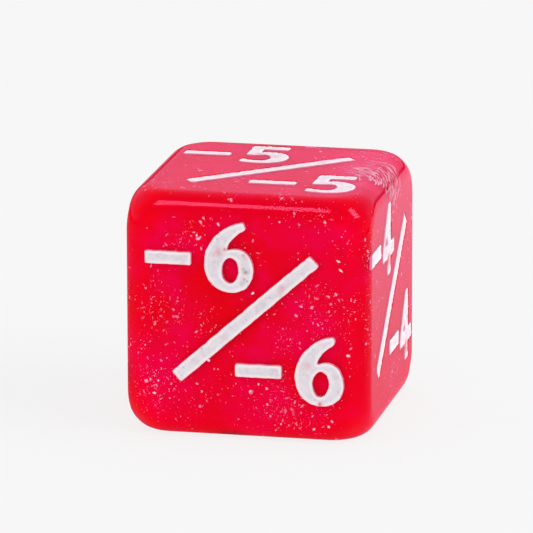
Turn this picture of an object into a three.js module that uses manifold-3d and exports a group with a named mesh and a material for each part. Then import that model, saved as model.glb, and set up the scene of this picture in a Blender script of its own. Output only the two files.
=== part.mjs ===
// Six-sided counter die in clear red resin.
// Every face carries a fraction: minus and numeral at the upper left, a slash across the middle,
// minus and numeral at the lower right. Each sign is a shallow pocket filled with white paint.
// Millimetres, +Z up. The origin is the middle of the bottom face; the face -6/-6 looks along -Y.

import * as THREE from 'three';
import { mergeVertices } from 'three/addons/utils/BufferGeometryUtils.js';
import Module from 'manifold-3d';

const wasm = await Module();
wasm.setup();

// The resin cube.
const EDGE = 16.0;              // face to face
const EDGE_RADIUS = 1.35;       // round along the twelve edges
const CORNER_WEAR = 1.5;        // how far the ball that rounds the corners cuts in from the sharp corner

// The pockets and the paint in them.
const POCKET_DEPTH = 0.4;
const PAINT_SUNK = 0.05;        // paint surface below the face
const PAINT_GAP = 0.02;         // clearance of the paint to the pocket's walls and floor

// The lettering, given for a face whose flat is LETTERING_FLAT wide; it grows with that flat.
const LETTERING_FLAT = 13.3;
const MINUS_LENGTH = 3.02;
const MINUS_HEIGHT = 0.84;
const DIGIT_HEIGHT = 4.63;
const SLASH_LENGTH = 12.1;
const SLASH_WIDTH = 0.9;
const SLASH_ANGLE = THREE.MathUtils.degToRad(41.8);
const SIDE_MARGIN = 0.09;       // flat's side edge to the outer end of the upper minus
const TOP_MARGIN = 0.32;        // flat's top edge to the top of the upper numeral
const MINUS_DROP = 2.53;        // top of a numeral to the middle of its minus
const DIGIT_STEP = 3.98;        // middle of a minus to the middle of its numeral
const LOWER_SHIFT = 5.89;       // upper pair to lower pair, sideways
const LOWER_DROP = 7.19;        // upper pair to lower pair, downwards
const SLASH_CLEARANCE = 0.45;   // side of the slash to the foot of the upper numeral
const DIGIT_REACH = 0.345;      // half the width of a numeral, in numeral heights

// How finely the rounds are divided.
const ROUND_STEPS = 4;
const CURVE_STEPS = 6;
const BOWL_STEPS = 20;

const half = EDGE / 2;
const flat = EDGE - 2 * EDGE_RADIUS;
const lettering = flat / LETTERING_FLAT;
const cornerBall = half * Math.sqrt(3) - CORNER_WEAR;

// ---- the cube ----

// Signed distance to the cube with round edges, worn down at the corners by a ball.
function distanceToCube(point) {
  const core = half - EDGE_RADIUS;
  const over = [Math.abs(point.x) - core, Math.abs(point.y) - core, Math.abs(point.z) - core];
  const outside = Math.hypot(Math.max(over[0], 0), Math.max(over[1], 0), Math.max(over[2], 0));
  const inside = Math.min(Math.max(over[0], over[1], over[2]), 0);
  return Math.max(outside + inside - EDGE_RADIUS, point.length() - cornerBall);
}

// Moves a point of the sharp cube straight towards the middle until it lies on the worn one.
function ontoCube(point) {
  let low = 0.5;
  let high = 1;
  for (let turn = 0; turn < 44; turn += 1) {
    const middle = (low + high) / 2;
    if (distanceToCube(point.clone().multiplyScalar(middle)) > 0) {
      high = middle;
    } else {
      low = middle;
    }
  }
  return point.multiplyScalar(high);
}

// Grid lines across a face: a wide middle field, a narrow one to the end of the flat, then
// closer lines over the round edge.
function gridLines() {
  const core = half - EDGE_RADIUS;
  const lines = [core * 0.78, core];
  for (let i = 1; i <= ROUND_STEPS; i += 1) {
    lines.push(core + EDGE_RADIUS * Math.tan(Math.PI / 4 * i / ROUND_STEPS));
  }
  return [...lines.map((line) => -line).reverse(), ...lines];
}

function bareGeometry(geometry) {
  geometry.deleteAttribute('normal');
  geometry.deleteAttribute('uv');
  return mergeVertices(geometry, 1e-5);
}

function wornCube() {
  const lines = gridLines();
  const count = lines.length - 1;
  const box = bareGeometry(new THREE.BoxGeometry(1, 1, 1, count, count, count));
  const places = box.attributes.position;
  const point = new THREE.Vector3();
  for (let i = 0; i < places.count; i += 1) {
    point.fromBufferAttribute(places, i);
    const line = (value) => lines[Math.round((value + 0.5) * count)];
    point.set(line(point.x), line(point.y), line(point.z));
    ontoCube(point);
    places.setXYZ(i, point.x, point.y, point.z);
  }
  return box;
}

// ---- outlines of the signs, drawn about their own middle ----

function barOutline(length, height) {
  const outline = new THREE.Shape();
  outline.moveTo(-length / 2, -height / 2);
  outline.lineTo(length / 2, -height / 2);
  outline.lineTo(length / 2, height / 2);
  outline.lineTo(-length / 2, height / 2);
  outline.closePath();
  return outline;
}

// The numerals are drawn one unit high, counter-clockwise.
function outlineOne() {
  const outline = new THREE.Shape();
  outline.moveTo(-0.11, -0.5);
  outline.lineTo(0.11, -0.5);
  outline.lineTo(0.11, 0.5);
  outline.lineTo(-0.02, 0.5);
  outline.quadraticCurveTo(-0.1, 0.4, -0.25, 0.35);
  outline.lineTo(-0.25, 0.19);
  outline.quadraticCurveTo(-0.17, 0.21, -0.11, 0.25);
  outline.closePath();
  return outline;
}

function outlineTwo() {
  const outline = new THREE.Shape();
  outline.moveTo(-0.32, -0.5);
  outline.lineTo(0.32, -0.5);
  outline.lineTo(0.32, -0.33);
  outline.lineTo(-0.03, -0.33);
  outline.bezierCurveTo(0.12, -0.18, 0.3, -0.02, 0.3, 0.21);
  outline.bezierCurveTo(0.3, 0.4, 0.16, 0.5, -0.02, 0.5);
  outline.bezierCurveTo(-0.13, 0.5, -0.23, 0.47, -0.3, 0.41);
  outline.lineTo(-0.24, 0.26);
  outline.bezierCurveTo(-0.18, 0.31, -0.11, 0.335, -0.05, 0.335);
  outline.bezierCurveTo(0.03, 0.335, 0.075, 0.28, 0.075, 0.2);
  outline.bezierCurveTo(0.075, 0.06, -0.12, -0.14, -0.32, -0.33);
  outline.closePath();
  return outline;
}

function outlineThree() {
  const outline = new THREE.Shape();
  outline.moveTo(-0.31, -0.44);
  outline.bezierCurveTo(-0.24, -0.48, -0.15, -0.5, -0.05, -0.5);
  outline.bezierCurveTo(0.16, -0.5, 0.32, -0.4, 0.32, -0.21);
  outline.bezierCurveTo(0.32, -0.08, 0.25, 0.01, 0.12, 0.04);
  outline.bezierCurveTo(0.21, 0.08, 0.27, 0.15, 0.27, 0.26);
  outline.bezierCurveTo(0.27, 0.42, 0.14, 0.5, -0.02, 0.5);
  outline.bezierCurveTo(-0.11, 0.5, -0.2, 0.475, -0.28, 0.43);
  outline.lineTo(-0.22, 0.285);
  outline.bezierCurveTo(-0.17, 0.32, -0.12, 0.345, -0.06, 0.345);
  outline.bezierCurveTo(0.01, 0.345, 0.05, 0.31, 0.05, 0.235);
  outline.bezierCurveTo(0.05, 0.16, 0.01, 0.11, -0.08, 0.11);
  outline.lineTo(-0.15, 0.11);
  outline.lineTo(-0.15, -0.05);
  outline.lineTo(-0.08, -0.05);
  outline.bezierCurveTo(0.02, -0.05, 0.09, -0.1, 0.09, -0.2);
  outline.bezierCurveTo(0.09, -0.29, 0.03, -0.34, -0.06, -0.34);
  outline.bezierCurveTo(-0.13, -0.34, -0.19, -0.32, -0.25, -0.28);
  outline.closePath();
  return outline;
}

function outlineFour() {
  const outline = new THREE.Shape();
  outline.moveTo(-0.085, -0.5);
  outline.lineTo(0.14, -0.5);
  outline.lineTo(0.14, -0.255);
  outline.lineTo(0.39, -0.255);
  outline.lineTo(0.39, -0.075);
  outline.lineTo(0.14, -0.075);
  outline.lineTo(0.14, 0.5);
  outline.lineTo(-0.045, 0.5);
  outline.lineTo(-0.42, -0.09);
  outline.lineTo(-0.42, -0.255);
  outline.lineTo(-0.085, -0.255);
  outline.closePath();
  const counter = new THREE.Path();
  counter.moveTo(-0.225, -0.075);
  counter.lineTo(-0.085, 0.145);
  counter.lineTo(-0.085, -0.075);
  counter.closePath();
  outline.holes.push(counter);
  return outline;
}

function outlineFive() {
  const outline = new THREE.Shape();
  outline.moveTo(-0.3, -0.45);
  outline.bezierCurveTo(-0.22, -0.485, -0.14, -0.5, -0.05, -0.5);
  outline.bezierCurveTo(0.17, -0.5, 0.315, -0.37, 0.315, -0.165);
  outline.bezierCurveTo(0.315, 0.04, 0.19, 0.165, 0.0, 0.165);
  outline.bezierCurveTo(-0.05, 0.165, -0.09, 0.155, -0.13, 0.14);
  outline.lineTo(-0.13, 0.315);
  outline.lineTo(0.225, 0.315);
  outline.lineTo(0.225, 0.5);
  outline.lineTo(-0.3, 0.5);
  outline.lineTo(-0.305, -0.035);
  outline.lineTo(-0.18, -0.035);
  outline.bezierCurveTo(-0.13, -0.01, -0.1, 0.0, -0.06, 0.0);
  outline.bezierCurveTo(0.03, 0.0, 0.08, -0.07, 0.08, -0.175);
  outline.bezierCurveTo(0.08, -0.29, 0.02, -0.355, -0.08, -0.355);
  outline.bezierCurveTo(-0.16, -0.355, -0.23, -0.33, -0.29, -0.28);
  outline.bezierCurveTo(-0.335, -0.31, -0.345, -0.4, -0.3, -0.45);
  outline.closePath();
  return outline;
}

function outlineSix() {
  const outline = new THREE.Shape();
  outline.moveTo(0.205, 0.495);
  outline.bezierCurveTo(-0.03, 0.485, -0.345, 0.235, -0.345, -0.09);
  outline.bezierCurveTo(-0.345, -0.34, -0.19, -0.5, 0.035, -0.5);
  outline.bezierCurveTo(0.22, -0.5, 0.345, -0.37, 0.345, -0.18);
  outline.bezierCurveTo(0.345, 0.0, 0.245, 0.12, 0.095, 0.12);
  outline.quadraticCurveTo(0.03, 0.12, -0.03, 0.09);
  outline.bezierCurveTo(-0.02, 0.215, 0.1, 0.325, 0.245, 0.4);
  outline.closePath();
  const bowl = new THREE.Path();
  bowl.absellipse(0.02, -0.185, 0.117, 0.185, 0, Math.PI * 2, true, -0.06);
  outline.holes.push(bowl);
  return outline;
}

const numerals = {
  one: outlineOne,
  two: outlineTwo,
  three: outlineThree,
  four: outlineFour,
  five: outlineFive,
  six: outlineSix,
};

// ---- pockets and paint ----

// Shifts each side of a closed line sideways to its left by the distance.
function shiftLine(points, distance) {
  const count = points.length;
  const moved = [];
  for (let i = 0; i < count; i += 1) {
    const before = points[(i + count - 1) % count];
    const here = points[i];
    const after = points[(i + 1) % count];
    const sideIn = here.clone().sub(before).normalize();
    const sideOut = after.clone().sub(here).normalize();
    const leftIn = new THREE.Vector2(-sideIn.y, sideIn.x);
    const leftOut = new THREE.Vector2(-sideOut.y, sideOut.x);
    const mitre = leftIn.clone().add(leftOut).normalize();
    const reach = distance / Math.max(mitre.dot(leftIn), 0.35);
    moved.push(here.clone().add(mitre.multiplyScalar(reach)));
  }
  return moved;
}

function cleanLine(points) {
  const kept = [];
  for (const point of points) {
    if (kept.length === 0 || kept[kept.length - 1].distanceTo(point) > 1e-4) {
      kept.push(point);
    }
  }
  if (kept[0].distanceTo(kept[kept.length - 1]) < 1e-4) {
    kept.pop();
  }
  return kept;
}

// The outline at its real size, drawn in by a clearance.
function sizedShape(outline, scale, turn, clearance) {
  const size = (points, wantClockwise) => {
    const line = points.map((point) => point.clone().multiplyScalar(scale));
    line.forEach((point) => point.rotateAround(new THREE.Vector2(), turn));
    const clean = cleanLine(line);
    if (THREE.ShapeUtils.isClockWise(clean) !== wantClockwise) {
      clean.reverse();
    }
    return clearance > 0 ? shiftLine(clean, clearance) : clean;
  };
  const shape = new THREE.Shape(size(outline.getPoints(CURVE_STEPS), false));
  for (const hole of outline.holes) {
    const steps = hole.curves.length === 1 ? BOWL_STEPS / 2 : CURVE_STEPS;
    shape.holes.push(new THREE.Path(size(hole.getPoints(steps), true)));
  }
  return shape;
}

function slab(shape, thickness) {
  return bareGeometry(new THREE.ExtrudeGeometry(shape, { depth: thickness, bevelEnabled: false }));
}

// The five signs of a face: name, outline, size, turn and place of the middle.
function signsOf(numeral) {
  const minusX = -LETTERING_FLAT / 2 + SIDE_MARGIN + MINUS_LENGTH / 2;
  const digitTop = LETTERING_FLAT / 2 - TOP_MARGIN;
  const minusY = digitTop - MINUS_DROP;
  const digitX = minusX + DIGIT_STEP;
  const digitY = digitTop - DIGIT_HEIGHT / 2;
  const minus = barOutline(MINUS_LENGTH, MINUS_HEIGHT);
  const slash = barOutline(SLASH_LENGTH, SLASH_WIDTH);
  const digit = numerals[numeral]();
  const lowerX = LOWER_SHIFT;
  const lowerY = -LOWER_DROP;
  // The slash passes the right-hand foot of the upper numeral at its clearance.
  const footX = digitX + DIGIT_REACH * DIGIT_HEIGHT;
  const footY = digitY - DIGIT_HEIGHT / 2;
  const normalX = -Math.sin(SLASH_ANGLE);
  const normalY = Math.cos(SLASH_ANGLE);
  const offset = footX * normalX + footY * normalY - SLASH_CLEARANCE - SLASH_WIDTH / 2;
  const slashX = offset * normalX;
  const slashY = offset * normalY;
  return [
    { name: 'upper_minus', outline: minus, size: 1, turn: 0, x: minusX, y: minusY },
    { name: `upper_${numeral}`, outline: digit, size: DIGIT_HEIGHT, turn: 0, x: digitX, y: digitY },
    { name: 'slash', outline: slash, size: 1, turn: SLASH_ANGLE, x: slashX, y: slashY },
    { name: 'lower_minus', outline: minus, size: 1, turn: 0, x: minusX + lowerX, y: minusY + lowerY },
    {
      name: `lower_${numeral}`,
      outline: digit,
      size: DIGIT_HEIGHT,
      turn: 0,
      x: digitX + lowerX,
      y: digitY + lowerY,
    },
  ];
}

// Opposite faces add up to seven. Tilt is about X, then turn is about Z.
const faces = [
  { name: 'front', numeral: 'six', tilt: Math.PI / 2, turn: 0 },
  { name: 'right', numeral: 'four', tilt: Math.PI / 2, turn: Math.PI / 2 },
  { name: 'back', numeral: 'one', tilt: Math.PI / 2, turn: Math.PI },
  { name: 'left', numeral: 'three', tilt: Math.PI / 2, turn: -Math.PI / 2 },
  { name: 'top', numeral: 'five', tilt: 0, turn: 0 },
  { name: 'bottom', numeral: 'two', tilt: Math.PI, turn: 0 },
];

function toSolid(geometry) {
  return new wasm.Manifold(new wasm.Mesh({
    numProp: 3,
    vertProperties: new Float32Array(geometry.attributes.position.array),
    triVerts: new Uint32Array(geometry.index.array),
  }));
}

function toGeometry(solid) {
  const mesh = solid.getMesh();
  const geometry = new THREE.BufferGeometry();
  geometry.setAttribute('position', new THREE.BufferAttribute(mesh.vertProperties, 3));
  geometry.setIndex(new THREE.BufferAttribute(mesh.triVerts, 1));
  geometry.computeVertexNormals();
  return geometry;
}

function pocketCutter(face, sign) {
  const shape = sizedShape(sign.outline, sign.size * lettering, sign.turn, 0);
  const cutter = slab(shape, POCKET_DEPTH + 1);
  cutter.translate(sign.x * lettering, sign.y * lettering, half - POCKET_DEPTH);
  cutter.rotateX(face.tilt);
  cutter.rotateZ(face.turn);
  return toSolid(cutter);
}

function redResin() {
  return new THREE.MeshStandardMaterial({
    name: 'red_resin',
    color: 0xec0a2e,
    roughness: 0.12,
    metalness: 0,
    transparent: true,
    opacity: 0.9,
  });
}

function whitePaint() {
  return new THREE.MeshStandardMaterial({
    name: 'white_paint',
    color: 0xe7dade,
    roughness: 0.6,
    metalness: 0,
  });
}

function dieBody() {
  let solid = toSolid(wornCube());
  for (const face of faces) {
    for (const sign of signsOf(face.numeral)) {
      solid = solid.subtract(pocketCutter(face, sign));
    }
  }
  const mesh = new THREE.Mesh(toGeometry(solid), redResin());
  mesh.name = 'die_body';
  return mesh;
}

// Whether a sign runs past the flat of its face into the round edge.
function leavesFlat(shape, sign) {
  const places = shape.getPoints(1);
  const farX = Math.max(...places.map((place) => Math.abs(place.x + sign.x * lettering)));
  const farY = Math.max(...places.map((place) => Math.abs(place.y + sign.y * lettering)));
  return Math.max(farX, farY) > flat / 2;
}

// Paint that runs into the round edge is levelled off just below the resin's surface.
function levelled(fill, sign) {
  const sunk = (half - PAINT_SUNK) / half;
  const limit = wornCube();
  limit.scale(sunk, sunk, sunk);
  limit.translate(-sign.x * lettering, -sign.y * lettering, POCKET_DEPTH - PAINT_GAP - half);
  return toGeometry(toSolid(fill).intersect(toSolid(limit)));
}

function paintFill(face, sign, material) {
  const shape = sizedShape(sign.outline, sign.size * lettering, sign.turn, PAINT_GAP);
  let fill = slab(shape, POCKET_DEPTH - PAINT_SUNK - PAINT_GAP);
  if (leavesFlat(shape, sign)) {
    fill = levelled(fill, sign);
  }
  fill.computeVertexNormals();
  const mesh = new THREE.Mesh(fill, material);
  mesh.name = `${face.name}_${sign.name}`;
  mesh.position.set(sign.x * lettering, sign.y * lettering, half - POCKET_DEPTH + PAINT_GAP);
  return mesh;
}

function faceGroup(face, material) {
  const group = new THREE.Group();
  group.name = `${face.name}_face`;
  group.rotation.set(face.tilt, 0, face.turn, 'ZYX');
  for (const sign of signsOf(face.numeral)) {
    group.add(paintFill(face, sign, material));
  }
  return group;
}

const die = new THREE.Group();
die.name = 'counter_die';
die.position.set(0, 0, half);
die.add(dieBody());
const paint = whitePaint();
for (const face of faces) {
  die.add(faceGroup(face, paint));
}

const group = new THREE.Group();
group.add(die);

export default group;
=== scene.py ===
# Six-sided counter die: clear red resin with glitter cast into it, a white fraction cut into every face.
# Everything is drawn in millimetres and scaled to metres when a mesh is made.
# The front is -Y and the die stands on Z = 0.
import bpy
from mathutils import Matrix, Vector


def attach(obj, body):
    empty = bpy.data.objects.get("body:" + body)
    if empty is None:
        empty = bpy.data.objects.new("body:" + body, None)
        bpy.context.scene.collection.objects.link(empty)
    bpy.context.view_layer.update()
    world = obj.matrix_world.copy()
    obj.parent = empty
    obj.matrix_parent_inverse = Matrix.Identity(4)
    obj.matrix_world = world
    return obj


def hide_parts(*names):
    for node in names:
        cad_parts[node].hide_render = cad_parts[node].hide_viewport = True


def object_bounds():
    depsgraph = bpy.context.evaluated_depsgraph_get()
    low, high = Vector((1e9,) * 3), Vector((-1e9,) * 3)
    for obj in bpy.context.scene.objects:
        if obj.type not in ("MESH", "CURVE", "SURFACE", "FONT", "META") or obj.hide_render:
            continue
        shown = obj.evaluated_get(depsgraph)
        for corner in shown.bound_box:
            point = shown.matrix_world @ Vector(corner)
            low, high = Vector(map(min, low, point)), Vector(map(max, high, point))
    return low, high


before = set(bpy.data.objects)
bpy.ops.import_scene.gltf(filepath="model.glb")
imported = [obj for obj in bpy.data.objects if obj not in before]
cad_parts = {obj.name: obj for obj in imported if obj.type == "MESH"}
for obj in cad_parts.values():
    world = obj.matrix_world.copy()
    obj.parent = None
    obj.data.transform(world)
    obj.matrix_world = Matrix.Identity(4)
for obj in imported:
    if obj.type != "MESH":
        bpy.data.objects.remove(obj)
cadBox = [[float(value) for value in corner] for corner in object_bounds()]

import math
import random

import bpy
import bmesh
import numpy as np
from mathutils import Euler, Matrix, Vector, geometry, noise
from mathutils.bvhtree import BVHTree

scene = bpy.context.scene
millimetre = 0.001
half = round((cadBox[1][0] - cadBox[0][0]) / 2 / millimetre, 3)  # half the die's edge, from the frame


# camera

cameraSetup = {
    "turn": 12.18,         # degrees to the right of straight ahead
    "height": 14.48,       # degrees above level
    "roll": -0.11,
    "distance": 419.4,     # from the middle of the die
    "lens": 436.25,
    "sensor": 36,
    "shift": (-0.00914, 0.0421),
}


def placeCamera():
    setup = cameraSetup
    lens = bpy.data.cameras.new("studioCamera")
    lens.sensor_width, lens.lens = setup["sensor"], setup["lens"]
    lens.shift_x, lens.shift_y = setup["shift"]
    lens.clip_start, lens.clip_end = 0.01, 50
    camera = bpy.data.objects.new("studioCamera", lens)
    scene.collection.objects.link(camera)
    turn, height = math.radians(setup["turn"]), math.radians(setup["height"])
    away = Vector((math.sin(turn) * math.cos(height), -math.cos(turn) * math.cos(height), math.sin(height)))
    aim = (-away).to_track_quat("-Z", "Y").to_matrix() @ Matrix.Rotation(math.radians(setup["roll"]), 3, "Z")
    place = Vector((0, 0, half)) + away * setup["distance"]
    camera.matrix_world = Matrix.Translation(place * millimetre) @ aim.to_4x4()
    scene.camera = camera


placeCamera()
print("camera placed")


# helpers for meshes and nodes

def newPiece(name, mesh, material):
    mesh.materials.append(material)
    piece = bpy.data.objects.new(name, mesh)
    scene.collection.objects.link(piece)
    return piece


def addNode(tree, kind, settings=None, **inputs):
    node = tree.nodes.new("ShaderNode" + kind)
    for key, value in (settings or {}).items():
        setattr(node, key, value)
    for key, value in inputs.items():
        socket = node.inputs[key.replace("_", " ")]
        if isinstance(value, bpy.types.NodeSocket):
            tree.links.new(value, socket)
        else:
            socket.default_value = value
    return node


def addRamp(tree, factor, stops):
    ramp = tree.nodes.new("ShaderNodeValToRGB")
    tree.links.new(factor, ramp.inputs["Fac"])
    while len(ramp.color_ramp.elements) < len(stops):
        ramp.color_ramp.elements.new(0.5)
    for element, (place, colour) in zip(ramp.color_ramp.elements, stops):
        element.position = place
        element.color = (*colour, 1)
    return ramp.outputs["Color"]


def addMath(tree, operation, first, second):
    node = tree.nodes.new("ShaderNodeMath")
    node.operation = operation
    for socket, value in zip(node.inputs, (first, second)):
        if isinstance(value, bpy.types.NodeSocket):
            tree.links.new(value, socket)
        else:
            socket.default_value = value
    return node.outputs[0]


def addMix(tree, factor, first, second):
    node = tree.nodes.new("ShaderNodeMix")
    node.data_type = "RGBA"
    for socket, value in zip((node.inputs[0], node.inputs[6], node.inputs[7]), (factor, first, second)):
        if isinstance(value, bpy.types.NodeSocket):
            tree.links.new(value, socket)
        else:
            socket.default_value = value if isinstance(value, float) else (*value, 1)
    return node.outputs[2]


def addNoise(tree, place, scale, detail=3.0, roughness=0.5):
    return addNode(tree, "TexNoise", Vector=place, Scale=scale, Detail=detail, Roughness=roughness).outputs[0]


# A number written on the points of a mesh.
def addWritten(tree, name):
    return addNode(tree, "Attribute", {"attribute_name": name}).outputs["Fac"]


# From 0 at the first value to 1 at the second.
def addStep(tree, value, span):
    return addNode(tree, "MapRange", Value=value, From_Min=span[0], From_Max=span[1]).outputs[0]


def addBump(tree, shader, strength, distance, height):
    bump = addNode(tree, "Bump", Strength=strength, Distance=distance, Height=height)
    tree.links.new(bump.outputs[0], shader.inputs["Normal"])


def greys(value):
    return (value, value, value)


def riseFrom(start, width, value):
    return min(max((value - start) / width, 0.0), 1.0)


def noiseAt(x, y, waves, seed):
    return noise.noise(Vector((x * waves, y * waves, seed)))


# The strongest of some round spots at a place, each given as across, up, reach and strength.
def spotsAt(spots, x, y):
    strongest = 0.0
    for across, up, reach, amount in spots:
        strongest = max(strongest, amount * math.exp(-((x - across) ** 2 + (y - up) ** 2) / reach ** 2))
    return strongest


def newMaterial(name):
    material = bpy.data.materials.new(name)
    material.use_nodes = True
    tree = material.node_tree
    shader = next(node for node in tree.nodes if node.type == "BSDF_PRINCIPLED")
    place = addNode(tree, "TexCoord").outputs["Object"]
    return material, tree, shader, place


# the signs of a face, the same outlines as the pockets of the frame

dieFaces = {  # numeral, tilt about X, then turn about Z
    "front": ("six", 90, 0),
    "right": ("four", 90, 90),
    "back": ("one", 90, 180),
    "left": ("three", 90, -90),
    "top": ("five", 0, 0),
    "bottom": ("two", 180, 0),
}

signs = {
    "minusSize": (3.02, 0.84),
    "slashSize": (12.1, 0.9),
    "slashTurn": 41.8,
    "numeralHeight": 4.63,
    "pocketDepth": 0.4,
    "edgeStep": 0.075,       # spacing of points along an outline
    "edgeRoughness": 0.028,  # how far the outline wanders
    "slowWaves": 1.7,
    "quickWaves": 6.5,
    "quickShare": 1.1,
    "chipDepth": 0.085,      # deepest nick in an edge
    "chipWaves": 2.9,
    "chipStart": 0.42,       # higher for fewer nicks
    "chipRamp": 0.3,
    "bolder": {"right": 0.07, "top": 0.045},   # these faces were filled a little fuller
    "bolderSlash": {"right": 0.15, "top": 0.045},
    "places": {
        "upper_minus": (-5.05, 3.80),
        "upper_numeral": (-1.07, 4.015),
        "slash": (-0.011, 0.012),
        "lower_minus": (0.84, -3.39),
        "lower_numeral": (4.82, -3.175),
    },
}

# One unit high. Two numbers draw a straight line, four or six a curve with one or two handles.
numeralShapes = {
    "one": [[
        (-0.11, -0.5), (0.11, -0.5), (0.11, 0.5), (-0.02, 0.5), (-0.1, 0.4, -0.25, 0.35), (-0.25, 0.19),
        (-0.17, 0.21, -0.11, 0.25),
    ]],
    "two": [[
        (-0.32, -0.5), (0.32, -0.5), (0.32, -0.33), (-0.03, -0.33), (0.12, -0.18, 0.3, -0.02, 0.3, 0.21),
        (0.3, 0.4, 0.16, 0.5, -0.02, 0.5), (-0.13, 0.5, -0.23, 0.47, -0.3, 0.41), (-0.24, 0.26),
        (-0.18, 0.31, -0.11, 0.335, -0.05, 0.335), (0.03, 0.335, 0.075, 0.28, 0.075, 0.2),
        (0.075, 0.06, -0.12, -0.14, -0.32, -0.33),
    ]],
    "three": [[
        (-0.31, -0.44), (-0.24, -0.48, -0.15, -0.5, -0.05, -0.5), (0.16, -0.5, 0.32, -0.4, 0.32, -0.21),
        (0.32, -0.08, 0.25, 0.01, 0.12, 0.04), (0.21, 0.08, 0.27, 0.15, 0.27, 0.26),
        (0.27, 0.42, 0.14, 0.5, -0.02, 0.5), (-0.11, 0.5, -0.2, 0.475, -0.28, 0.43), (-0.22, 0.285),
        (-0.17, 0.32, -0.12, 0.345, -0.06, 0.345), (0.01, 0.345, 0.05, 0.31, 0.05, 0.235),
        (0.05, 0.16, 0.01, 0.11, -0.08, 0.11), (-0.15, 0.11), (-0.15, -0.05), (-0.08, -0.05),
        (0.02, -0.05, 0.09, -0.1, 0.09, -0.2), (0.09, -0.29, 0.03, -0.34, -0.06, -0.34),
        (-0.13, -0.34, -0.19, -0.32, -0.25, -0.28),
    ]],
    "four": [[
        (-0.085, -0.5), (0.14, -0.5), (0.14, -0.255), (0.39, -0.255), (0.39, -0.075), (0.14, -0.075),
        (0.14, 0.5), (-0.045, 0.5), (-0.42, -0.09), (-0.42, -0.255), (-0.085, -0.255),
    ], [(-0.225, -0.075), (-0.085, 0.145), (-0.085, -0.075)]],
    "five": [[
        (-0.3, -0.45), (-0.22, -0.485, -0.14, -0.5, -0.05, -0.5), (0.17, -0.5, 0.315, -0.37, 0.315, -0.165),
        (0.315, 0.04, 0.19, 0.165, 0.0, 0.165), (-0.05, 0.165, -0.09, 0.155, -0.13, 0.14), (-0.13, 0.315),
        (0.225, 0.315), (0.225, 0.5), (-0.3, 0.5), (-0.305, -0.035), (-0.18, -0.035),
        (-0.13, -0.01, -0.1, 0.0, -0.06, 0.0), (0.03, 0.0, 0.08, -0.07, 0.08, -0.175),
        (0.08, -0.29, 0.02, -0.355, -0.08, -0.355), (-0.16, -0.355, -0.23, -0.33, -0.29, -0.28),
        (-0.335, -0.31, -0.345, -0.4, -0.3, -0.45),
    ]],
    "six": [[
        (0.205, 0.495), (-0.03, 0.485, -0.345, 0.235, -0.345, -0.09),
        (-0.345, -0.34, -0.19, -0.5, 0.035, -0.5),
        (0.22, -0.5, 0.345, -0.37, 0.345, -0.18), (0.345, 0.0, 0.245, 0.12, 0.095, 0.12),
        (0.03, 0.12, -0.03, 0.09), (-0.02, 0.215, 0.1, 0.325, 0.245, 0.4),
    ], [
        (0.137, -0.192), (0.143, -0.090, 0.096, -0.006, 0.031, -0.0003),
        (-0.033, 0.004, -0.091, -0.075, -0.097, -0.178), (-0.103, -0.280, -0.056, -0.364, 0.009, -0.3697),
        (0.073, -0.374, 0.131, -0.295, 0.137, -0.192),
    ]],
}


def traceLine(corners, scale):
    points = []
    for corner in corners:
        target = Vector(corner[-2:]) * scale
        if len(corner) > 2:
            start = points[-1]
            handles = [Vector(corner[i:i + 2]) * scale for i in range(0, len(corner) - 2, 2)]
            if len(handles) == 1:  # a single handle, written as two
                handles = [start.lerp(handles[0], 2 / 3), target.lerp(handles[0], 2 / 3)]
            points += geometry.interpolate_bezier(start, handles[0], handles[1], target, 14)[1:]
        else:
            points.append(target)
    if (points[0] - points[-1]).length < 1e-4:
        points.pop()
    return [Vector(point[:2]) for point in points]


def barCorners(size):
    wide, high = size[0] / 2, size[1] / 2
    return [(-wide, -high), (wide, -high), (wide, high), (-wide, high)]


def evenLine(points, step):
    ends = points[1:] + points[:1]
    lengths = [(b - a).length for a, b in zip(points, ends)]
    total = sum(lengths)
    count = max(12, round(total / step))
    even, side, passed = [], 0, 0.0
    for i in range(count):
        wanted = total * i / count
        while passed + lengths[side] < wanted:
            passed += lengths[side]
            side += 1
        even.append(points[side].lerp(ends[side], (wanted - passed) / lengths[side]))
    return even


def outward(points):
    count = len(points)
    area = sum(points[i].cross(points[(i + 1) % count]) for i in range(count))
    sign = 1 if area > 0 else -1
    normals = []
    for i in range(count):
        along = points[(i + 1) % count] - points[i - 1]
        normals.append(Vector((along.y, -along.x)).normalized() * sign)
    return normals


def softened(points):
    count = len(points)
    return [(points[i - 1] + points[i] * 2 + points[(i + 1) % count]) / 4 for i in range(count)]


def growLine(points, distance, hole):
    normals = outward(points)
    if hole:
        distance = -distance
    return [point + normal * distance for point, normal in zip(points, normals)]


# The hand-filled edges wander a little and are nicked here and there.
def roughLine(points, seed):
    moved = []
    for point, normal in zip(points, outward(points)):
        slow = noiseAt(point.x, point.y, signs["slowWaves"], seed)
        quick = noiseAt(point.x, point.y, signs["quickWaves"], seed + 9)
        nick = noiseAt(point.x, point.y, signs["chipWaves"], seed + 23)
        inward = max(0.0, nick - signs["chipStart"]) / signs["chipRamp"] * signs["chipDepth"]
        wander = signs["edgeRoughness"] * (slow + signs["quickShare"] * quick)
        moved.append(point + normal * (wander - min(inward, signs["chipDepth"])))
    return moved


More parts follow.
